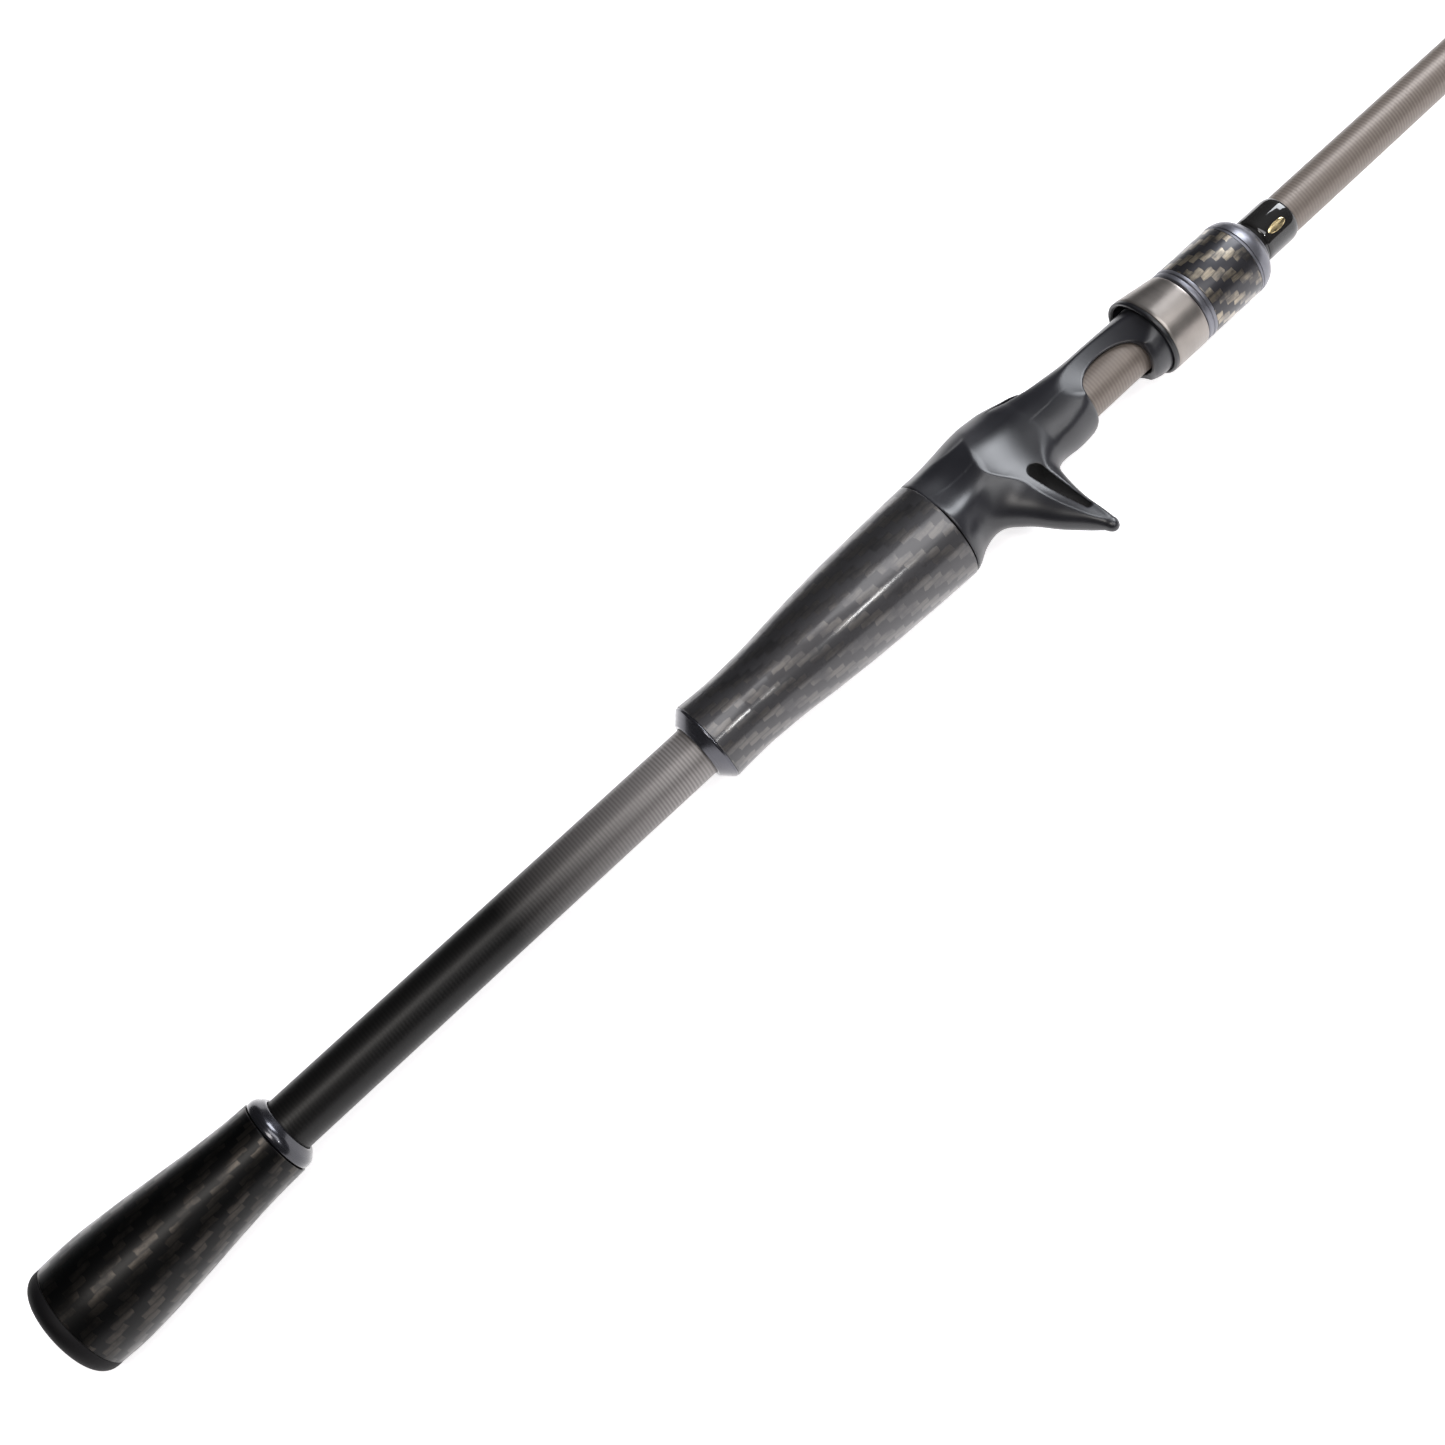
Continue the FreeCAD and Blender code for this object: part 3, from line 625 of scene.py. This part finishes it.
def make_hood():
    start, end = ends("hood_liner")
    shell_start, shell_end = ends("hood_shell")
    radius = top_radius("hood_shell")
    bore = 9.6
    most_rise = 2.3
    bead = 0.62             # radius of the lining's rounded rim
    backing = 0.66          # the lining's outside, below the shell's

    def rise(x):
        return max(most_rise * (end - x) / (end - start), 0.03)

    shell = []
    outside = [(shell_start, -0.30), (shell_start + 0.10, -0.10), (shell_start + 0.3, 0.0)]
    outside += [(x, 0.0) for x in np.linspace(shell_start + 1, shell_end - 0.5, 12)]
    outside += [(shell_end - 0.25, -0.02), (shell_end - 0.08, -0.12), (shell_end, -0.3),
                (shell_end, -0.62), (shell_start, -0.62)]
    for x, change in outside:
        shell.append(hood_ring(x, radius + change, rise(x)))
    replace(skin("hood_metal", shell, GUNMETAL, "hood"), "hood_shell")

    # the lining's rim is a rounded bead; inside it, the foot pocket rises over the barrel
    liner = []
    for step in range(11):
        angle = math.radians(180 * step / 10)
        x = start + bead - bead * math.sin(angle)
        liner.append(hood_ring(x, radius - bead - 0.52 * math.cos(angle), rise(x)))
    liner.append(hood_ring(shell_start - 0.05, radius - 0.1, rise(shell_start)))
    liner.append(hood_ring(shell_start - 0.02, radius - 0.64, rise(shell_start)))
    for x in np.linspace(shell_start + 1, end - 0.02, 6):
        liner.append(hood_ring(x, radius - backing, rise(x)))
    liner.append(hood_ring(end - 0.02, bore, 0.0))
    for x in np.linspace(end - 2.4, start + bead, 6):
        liner.append(hood_ring(x, bore, max(rise(x) - 0.1, 0.0)))
    replace(skin("hood_lining", liner, RIM_PLASTIC, "hood"), "hood_liner")


# ---------------------------------------------------------------- reel seat

def bridge(value, stations):
    """Smooth interpolation in a table of stations in order: (key, number, number, ...)."""
    keys = np.array([row[0] for row in stations], float)
    value = np.clip(value, keys[0], keys[-1])
    slot = np.clip(np.searchsorted(keys, value) - 1, 0, len(keys) - 2)
    width = keys[slot + 1] - keys[slot]
    t = (value - keys[slot]) / width
    out = []
    for column in range(1, len(stations[0])):
        numbers = np.array([row[column] for row in stations], float)
        slopes = np.gradient(numbers, keys)
        out.append(cubic(t, width, numbers[slot], numbers[slot + 1], slopes[slot], slopes[slot + 1]))
    return out


def join(a, b, k):
    """Union of two distance fields with a fillet of about k."""
    h = np.clip(0.5 + 0.5 * (b - a) / k, 0, 1)
    return b * (1 - h) + a * h - k * h * (1 - h)


def meet(a, b, k):
    """Intersection of two distance fields with a rounded edge of about k."""
    return -join(-a, -b, k)


SEAT_START = 278.35
SEAT_END = 352.5        # the moulded body's end; the threaded barrel goes on from there
BARREL_RADIUS = 9.5
BLANK_BORE = 6.75
# (x, height above the axis, depth below it, half width)
SEAT_OUTLINE = [(276.0, 14.1, 14.3, 14.2), (279.0, 14.25, 13.9, 13.9), (284.0, 14.9, 11.2, 12.7),
                (290.0, 15.8, 8.8, 11.9), (297.0, 16.7, 8.6, 12.0), (304.0, 16.8, 8.3, 11.9),
                (310.0, 15.6, 7.8, 11.2), (316.0, 13.4, 7.4, 10.4), (322.0, 11.4, 7.6, 10.0),
                (329.0, 10.0, 8.5, 9.8), (338.0, 9.65, 9.4, 9.65), (345.0, 9.5, 9.5, 9.5),
                (376.0, 9.5, 9.5, 9.5)]
# the trigger at each height: (z, centre x, half length, half thickness)
TRIGGER_OUTLINE = [(-36.0, 305.6, 1.1, 0.9), (-33.2, 305.35, 1.75, 1.7), (-29.1, 304.15, 3.15, 3.0),
                   (-23.5, 302.3, 5.1, 3.9), (-16.8, 300.85, 7.45, 4.9), (-11.6, 299.5, 10.0, 6.0),
                   (-3.0, 299.5, 13.0, 8.0), (6.0, 299.5, 13.0, 8.0)]
# the flank hollow at each height: (z, centre x, half thickness left at the centre, hollow radius)
HOLLOW = [(-36.0, 306.6, 1.5, 6.0), (-28.0, 306.5, 2.2, 8.0), (-16.0, 306.0, 3.4, 12.0),
          (-7.0, 307.0, 5.9, 22.0), (5.0, 309.5, 8.7, 32.0), (10.0, 309.0, 8.0, 30.0),
          (13.0, 308.0, 6.5, 28.0), (17.0, 307.0, 3.0, 24.0)]
# the rounded shoulder ahead of the trigger, as an ellipsoid: its centre and half sizes
SHOULDER = (319.4, 0.0, -0.9)
SHOULDER_HALF = (9.7, 9.4, 7.3)
# the ball on the trigger's end: the middle's x and z, and its radius
TRIGGER_TIP = (305.35, -33.35)
TIP_RADIUS = 1.65
# the pinched flanks behind the trigger, each cut by a ball drawn out in height: the ball's middle
# and radius
WAIST = (287.0, 25.6, -1.0)
WAIST_RADIUS = 15.0
# the bare-blank window under the barrel, as an ellipse: its centre, its half sizes, and what its
# flare towards the flanks adds to them for each FLARE_WIDTH past FLARE_START off the middle
WINDOW = (336.9, -5.6)
WINDOW_HALF = (9.7, 7.0)
WINDOW_FLARE = (4.2, 4.6)
FLARE_START = 7.15
FLARE_WIDTH = 1.2
# the reel's foot: the height of its deck, and the fixed hood's pocket
DECK = 8.4
POCKET_HALF_WIDTH = 7.0
POCKET_TOP = 11.4
POCKET_BACK = 300.0
FIXED_HOOD_END = 321.0


def seat_field(x, y, z):
    """Signed distance, roughly, to the reel seat's surface as it is held."""
    top, bottom, wide = bridge(x, SEAT_OUTLINE)
    tall = np.where(z > 0, top, bottom)
    body = (np.sqrt((y / wide) ** 2 + (z / tall) ** 2) - 1) * np.minimum(wide, tall)
    shoulder = sum(((value - middle) / half) ** 2
                   for value, middle, half in zip((x, y, z), SHOULDER, SHOULDER_HALF))
    shoulder = (np.sqrt(shoulder) - 1) * SHOULDER_HALF[2]
    body = join(body, shoulder, 2.0)

    centre, half_long, half_thick = bridge(z, TRIGGER_OUTLINE)
    trigger = np.sqrt(((x - centre) / half_long) ** 2 + (y / half_thick) ** 2) - 1
    trigger = trigger * np.minimum(half_long, half_thick)
    tip = np.sqrt((x - TRIGGER_TIP[0]) ** 2 + y ** 2 + (z - TRIGGER_TIP[1]) ** 2) - TIP_RADIUS
    trigger = meet(trigger, -33.4 - z, 0.8)
    trigger = meet(trigger, z - 4.0, 0.5)
    trigger = join(trigger, tip, 0.8)
    solid = join(body, trigger, 5.0)

    centre, web, bend = bridge(z, HOLLOW)
    ahead = x - centre
    hollow = np.abs(y) - web - ahead ** 2 / (2 * np.where(ahead > 0, 4.0 * bend, bend))
    solid = meet(solid, hollow, 0.25 + 2.5 * np.clip((x - 307.0) / 6.0, 0, 1))

    off_centre = (x - WAIST[0]) ** 2 + (np.abs(y) - WAIST[1]) ** 2 + (0.7 * (z - WAIST[2])) ** 2
    solid = meet(solid, WAIST_RADIUS - np.sqrt(off_centre), 2.5)

    # teardrop slot through the trigger, with a softly raised edge
    run = np.clip((SLOT_TOP - z) / SLOT_DROP, 0, 1)
    slot_radius = SLOT_RADIUS - SLOT_TAPER * run
    ahead = x - SLOT_X - SLOT_LEAN * run
    below = z - SLOT_TOP + SLOT_DROP * run
    solid = meet(solid, slot_radius - np.sqrt(ahead ** 2 + below ** 2), 0.3)

    # deck for the reel's foot, and the fixed hood's pocket
    pocket = np.maximum(np.maximum(np.abs(y) - POCKET_HALF_WIDTH, z - POCKET_TOP),
                        np.maximum(DECK - z, POCKET_BACK - x))
    past_hood = np.maximum(DECK - z, FIXED_HOOD_END - x)
    solid = meet(solid, -pocket, 0.4)
    solid = meet(solid, -past_hood, 0.6)

    # bare-blank window under the barrel, flared outwards
    flare = np.clip((np.abs(y) - FLARE_START) / FLARE_WIDTH, 0, 1.8)
    half_x = WINDOW_HALF[0] + WINDOW_FLARE[0] * flare
    half_z = WINDOW_HALF[1] + WINDOW_FLARE[1] * flare
    window = (np.sqrt(((x - WINDOW[0]) / half_x) ** 2 + ((z - WINDOW[1]) / half_z) ** 2) - 1) * 4.0
    solid = meet(solid, -window, 0.4 + 1.4 * np.clip((-3.0 - z) / 4.0, 0, 1))

    bore = np.sqrt(y ** 2 + z ** 2) - BLANK_BORE
    solid = np.maximum(solid, -bore)
    solid = meet(solid, SEAT_START - x, 0.5)
    return np.maximum(solid, x - SEAT_END)


def surface_net(field, low, high, step):
    """Closed quad mesh on the zero level of a field, by surface nets, settled onto the surface."""
    axes = [np.arange(a, b + step, step) for a, b in zip(low, high)]
    grid = np.stack(np.meshgrid(*axes, indexing="ij"), -1)
    values = field(grid[..., 0], grid[..., 1], grid[..., 2])
    inside = values < 0
    corners = [(i, j, k) for i in (0, 1) for j in (0, 1) for k in (0, 1)]
    shape = [n - 1 for n in values.shape]

    def at_corner(array, corner):
        return array[tuple(slice(start, start + n) for start, n in zip(corner, shape))]

    count = sum(at_corner(inside, c).astype(np.int8) for c in corners)
    cells = (count > 0) & (count < 8)
    number = np.full(shape, -1, np.int64)
    number[cells] = np.arange(cells.sum())
    total = np.zeros((int(cells.sum()), 3))
    weight = np.zeros(int(cells.sum()))
    for a in corners:
        for axis in range(3):
            if a[axis] == 1:
                continue
            b = tuple(1 if n == axis else a[n] for n in range(3))
            va = at_corner(values, a)[cells]
            vb = at_corner(values, b)[cells]
            crossed = (va < 0) != (vb < 0)
            share = np.where(crossed, va / np.where(crossed, va - vb, 1.0), 0.0)
            point = np.tile(np.array(a, float), (len(va), 1))
            point[:, axis] += share
            total += point * crossed[:, None]
            weight += crossed
    base = np.stack(np.nonzero(cells), -1).astype(float)
    points = (base + total / weight[:, None]) * step + np.array([axis[0] for axis in axes])

    faces = []
    for axis in range(3):
        b, c = [n for n in range(3) if n != axis]
        cut = [slice(1, n - 1) for n in values.shape]
        cut[axis] = slice(0, values.shape[axis] - 1)
        ahead = list(cut)
        ahead[axis] = slice(1, values.shape[axis])
        first = inside[tuple(cut)]
        second = inside[tuple(ahead)]
        for state, order in ((first & ~second, 1), (~first & second, -1)):
            index = np.stack(np.nonzero(state), -1)
            index[:, b] += 1
            index[:, c] += 1
            quad = []
            for db, dc in ((0, 0), (1, 0), (1, 1), (0, 1)):
                cell = index.copy()
                cell[:, b] -= db
                cell[:, c] -= dc
                quad.append(number[cell[:, 0], cell[:, 1], cell[:, 2]])
            quad = np.stack(quad, -1)
            turn = order if axis != 1 else -order
            faces.append(quad if turn > 0 else quad[:, ::-1])
    faces = np.concatenate(faces)

    ends_of_edges = np.concatenate([faces[:, pair] for pair in ([0, 1], [1, 2], [2, 3], [3, 0])])
    for _ in range(4):
        neighbours = np.zeros_like(points)
        degree = np.zeros(len(points))
        for a, b in ((0, 1), (1, 0)):
            np.add.at(neighbours, ends_of_edges[:, a], points[ends_of_edges[:, b]])
            np.add.at(degree, ends_of_edges[:, a], 1)
        points = points * 0.5 + 0.5 * neighbours / degree[:, None]
        for _ in range(2):
            points = settle(field, points, 0.05, 0.3 * step)
    return points, faces


def settle(field, points, small, most):
    """Moves points along the field's slope onto its zero level."""
    x, y, z = points.T
    value = field(x, y, z)
    slope = np.stack([field(x + small, y, z) - field(x - small, y, z),
                      field(x, y + small, z) - field(x, y - small, z),
                      field(x, y, z + small) - field(x, y, z - small)], -1) / (2 * small)
    size = np.maximum((slope ** 2).sum(-1), 0.05)
    move = -slope * (value / size)[:, None]
    length = np.linalg.norm(move, axis=1)
    return points + move * np.minimum(1.0, most / np.maximum(length, 1e-9))[:, None]


def make_reel_seat():
    step = 0.35
    low, high = (276.5, -16.0, -37.0), (354.5, 16.0, 19.0)
    points, faces = surface_net(seat_field, low, high, step)
    piece = add_mesh("reel_seat", laid(points), [tuple(f) for f in faces], BLACK_PLASTIC, "rod",
                     sharp=60.0)
    replace(piece, "reel_seat_body")

    # barrel with its screw thread, a single ridge that winds towards the butt
    segments = 96
    pitch = 1.5
    depth_of_thread = 0.55
    thread_from = 364.5
    chamfer_length, chamfer_depth = 0.6, 0.5
    start = SEAT_END - 0.5
    end = ends("reel_seat_body")[1]
    rings = []
    for x in np.arange(start, end + 0.01, 0.15):
        ring = []
        for n in range(segments):
            turn = n / segments
            phase = (x / pitch - turn) % 1.0
            radius = BARREL_RADIUS - 0.02
            if x > thread_from:
                radius -= depth_of_thread * (0.5 - 0.5 * math.cos(2 * math.pi * phase))
            if x > end - chamfer_length:
                radius -= chamfer_depth * (x - end + chamfer_length) / chamfer_length
            angle = 2 * math.pi * turn
            ring.append((x, radius * math.sin(angle), radius * math.cos(angle)))
        rings.append(laid(ring))
    bore = 7.0
    for x in (end, start):
        angles = [2 * math.pi * n / segments for n in range(segments)]
        rings.append(laid([(x, bore * math.sin(angle), bore * math.cos(angle)) for angle in angles]))
    barrel = skin("seat_barrel", rings, BLACK_PLASTIC, "rod", sharp=50.0)


# ---------------------------------------------------------------- guides and tip-top

DOUBLE_FOOT_GUIDES = ("guide_1", "guide_2")


def make_ring(holder):
    """Polished ceramic ring with a rounded bore."""
    node = holder + "_ring"
    low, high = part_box(node)
    middle = (low + high) / 2 / MM
    half = (high.x - low.x) / MM / 2 - 0.01
    rim = (high.z - low.z) / MM / 2 - 0.01
    bore = min(math.hypot(v.co.y / MM - middle.y, v.co.z / MM - middle.z)
               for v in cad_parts[node].data.vertices)
    round_off = 0.55
    outline = [(-half, rim), (-half, bore + round_off)]
    for step in range(1, 16):
        angle = math.pi * step / 16
        outline.append((-half * math.cos(angle), bore + 0.02 + round_off * (1 - math.sin(angle))))
    outline += [(half, bore + round_off), (half, rim)]
    turned = [(middle.x + x, r) for x, r in outline]
    replace(lathe(holder + "_polished_ring", turned, CERAMIC, "rod", 64, centre=(middle.y, middle.z)),
            node)


def make_guide_wraps(guide):
    """Epoxied thread over each foot of a guide."""
    node = guide + "_wraps"
    start, end = ends(node)
    feet = [(start, end)]
    if guide in DOUBLE_FOOT_GUIDES:
        rim = (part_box(guide + "_ring")[1].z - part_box(guide + "_ring")[0].z) / MM / 2
        length = 7.8 + 1.1 * rim
        feet = [(end - length, end), (start, start + length)]
    for place, (x0, x1) in enumerate(feet):
        outline = wrap_outline(x0, x1, blank_radius(x0) + 0.93, min(2.2, (x1 - x0) / 5),
                               blank_radius(x0), blank_radius(x1))
        piece = lathe("%s_thread_%d" % (guide, place + 1), outline, WRAP, "rod", 72)
        if place == 0:
            replace(piece, node)


def make_line_guides():
    guides = sorted({node.rsplit("_", 1)[0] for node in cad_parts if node.startswith("guide_")})
    for guide in guides:
        make_ring(guide)
        make_guide_wraps(guide)
    make_ring("tip_top")
    start, end = ends("tip_top_wrap")
    radius = top_radius("tip_top_wrap") - 0.01
    outline = wrap_outline(start, end, radius, 1.2, blank_radius(start), radius - 0.25)
    replace(lathe("tip_top_thread", outline, WRAP, "rod", 72), "tip_top_wrap")


# ---------------------------------------------------------------- nodes that stay as they are

def dress(node, material):
    """Gives a CAD node that stays visible its material."""
    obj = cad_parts[node]
    obj.data.materials.clear()
    obj.data.materials.append(material)


def dress_the_rest():
    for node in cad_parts:
        if node == "nut_core":
            dress(node, RIM_PLASTIC)
        elif node.endswith(("_core", "_arbor")):
            dress(node, FOAM)
        elif node.endswith("_frame"):
            dress(node, FRAME_METAL)


# ---------------------------------------------------------------- camera, lights and floor

def make_camera():
    """Camera above the handle on the trigger's side, looking across the rod.

    Its axes and its place are written in a frame that is tilted about the rod, towards the viewer.
    """
    tilt = math.radians(35.0)
    up = Vector((0.0, math.cos(tilt), math.sin(tilt)))
    towards = Vector((0.0, -math.sin(tilt), math.cos(tilt)))
    along = Vector((1.0, 0.0, 0.0))
    right = 0.73129 * along - 0.67523 * up + 0.09630 * towards
    above = 0.66945 * along + 0.73761 * up + 0.08816 * towards
    back = -0.13056 * along + 0.99144 * towards
    place = 0.14734 * along + 0.44560 * towards + 0.00095 * up
    camera = bpy.data.cameras.new("camera")
    camera.sensor_width = 36.0
    camera.lens = 46.1
    camera.clip_start = 0.01
    camera.clip_end = 60.0
    obj = bpy.data.objects.new("camera", camera)
    bpy.context.scene.collection.objects.link(obj)
    turn = Matrix((right, above, back)).transposed().to_4x4()
    obj.matrix_world = Matrix.Translation(place) @ turn
    bpy.context.scene.camera = obj


def area_light(name, place, target, width, height, power, color):
    light = bpy.data.lights.new(name, "AREA")
    light.shape = "RECTANGLE"
    light.size = width
    light.size_y = height
    light.energy = power
    light.color = color
    obj = bpy.data.objects.new(name, light)
    bpy.context.scene.collection.objects.link(obj)
    obj.location = place
    look = Vector(target) - Vector(place)
    obj.rotation_euler = look.to_track_quat("-Z", "Y").to_euler()


def softbox(name, along, elevation, width, height, power, color=(1.0, 1.0, 1.0)):
    """Area light aimed at the reel seat.

    along is how far its direction leans along the rod, from -1 at the butt's end to 1 at the
    tip's. elevation is its angle up from the trigger's side, in degrees.
    """
    reach = 1.1
    across = math.sqrt(1 - along ** 2)
    turn = math.radians(elevation)
    middle = Vector((0.30, 0.0, 0.0))
    direction = Vector((along, -across * math.cos(turn), across * math.sin(turn)))
    area_light(name, middle + direction * reach, middle, width, height, power, color)


def make_lights():
    """Soft lights above the reel seat, mostly on the camera's side, in a dim room."""
    softbox("band", 0.24, 64.0, 0.36, 0.80, 4.2, (0.98, 0.98, 1.0))
    softbox("streak", 0.085, 42.0, 0.10, 0.035, 1.3)
    softbox("overhead", 0.76, 98.0, 0.46, 0.54, 10.0, (0.92, 0.95, 1.0))
    softbox("room", -0.32, 70.0, 0.34, 0.26, 2.8, (1.0, 0.96, 0.92))
    world = bpy.data.worlds.new("studio")
    bpy.context.scene.world = world
    world.use_nodes = True
    background = world.node_tree.nodes["Background"]
    background.inputs["Color"].default_value = rgb(0.9, 0.92, 1.0)
    background.inputs["Strength"].default_value = 0.05
    bpy.context.scene.view_settings.view_transform = "Standard"


def make_floor():
    s = Shader("floor_white")
    fibre = s.noise(60.0, 4.0)
    tint = s.mix(fibre, rgb(0.90, 0.89, 0.90), rgb(0.96, 0.955, 0.96))
    material = s.finish(Base_Color=tint, Roughness=0.7, Emission_Color=rgb(1.0, 0.985, 0.99),
                        Emission_Strength=0.80)
    mesh = bpy.data.meshes.new("floor")
    level = min(CAD_BOX[0][2], CAD_BOX[1][2]) - FLOOR_GAP
    reach = 40.0
    mesh.from_pydata([(-reach, -reach, level), (reach, -reach, level), (reach, reach, level),
                      (-reach, reach, level)], [], [(0, 1, 2, 3)])
    mesh.materials.append(material)
    floor = bpy.data.objects.new("floor", mesh)
    bpy.context.scene.collection.objects.link(floor)


make_camera()
make_blank()
make_butt_cap()
make_grips()
make_trim_rings()
make_reel_seat()
make_hood()
make_nut()
make_fore_wrap()
make_inlay()
make_line_guides()
dress_the_rest()
make_lights()
make_floor()
